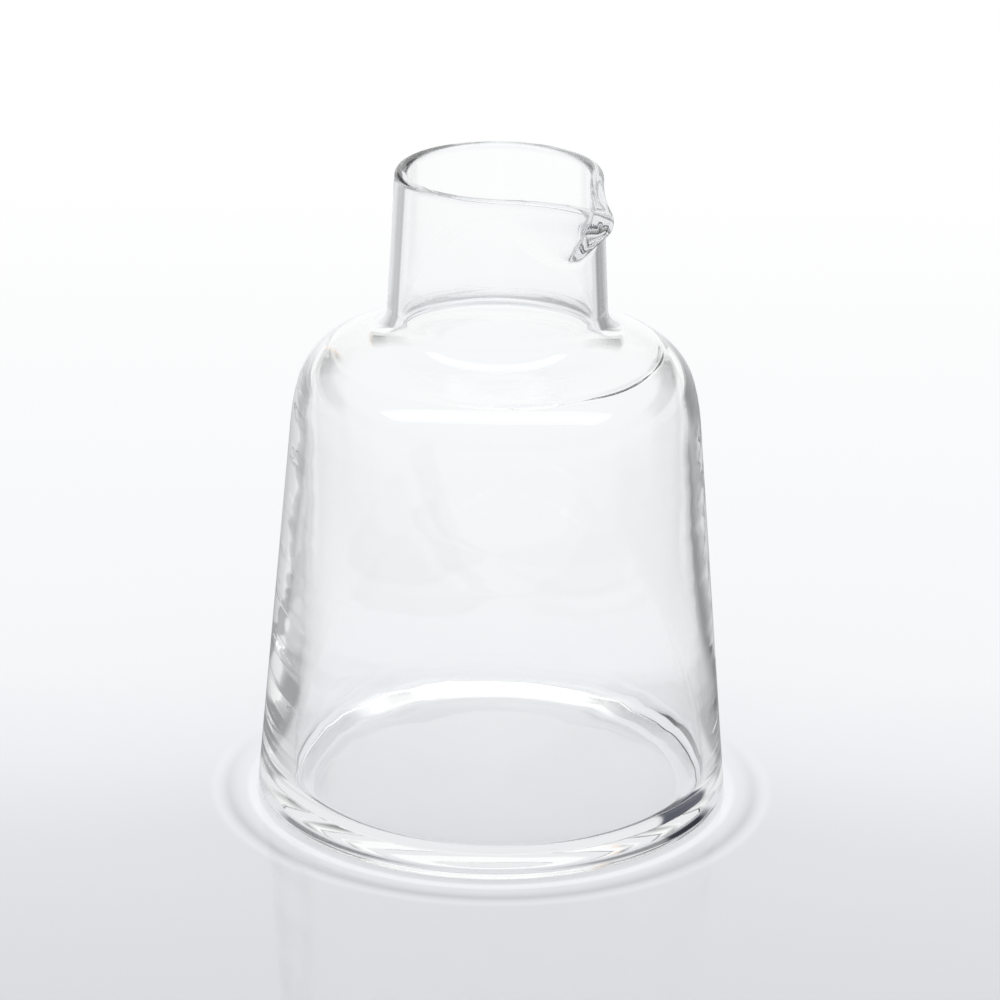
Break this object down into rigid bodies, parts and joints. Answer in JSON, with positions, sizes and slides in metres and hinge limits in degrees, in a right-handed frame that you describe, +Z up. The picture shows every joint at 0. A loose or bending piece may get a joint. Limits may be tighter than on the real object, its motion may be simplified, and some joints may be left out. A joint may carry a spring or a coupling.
{
  "type": "glass carafe",
  "caption": "Clear glass carafe with a tapered body, round shoulder, short neck and a pulled pouring beak at the rim.",
  "frame": {"origin": "centre of the foot, on the surface the carafe stands on", "axes": "+Z up along the carafe's axis, +X towards the pouring beak"},
  "size_m": [0.1158, 0.1158, 0.16],
  "materials": {
    "clear_glass": "clear blown soda glass, fire-polished rim, slight waviness"
  },
  "bodies": {
    "root": {"carafe": "clear_glass"}
  },
  "joints": []
}
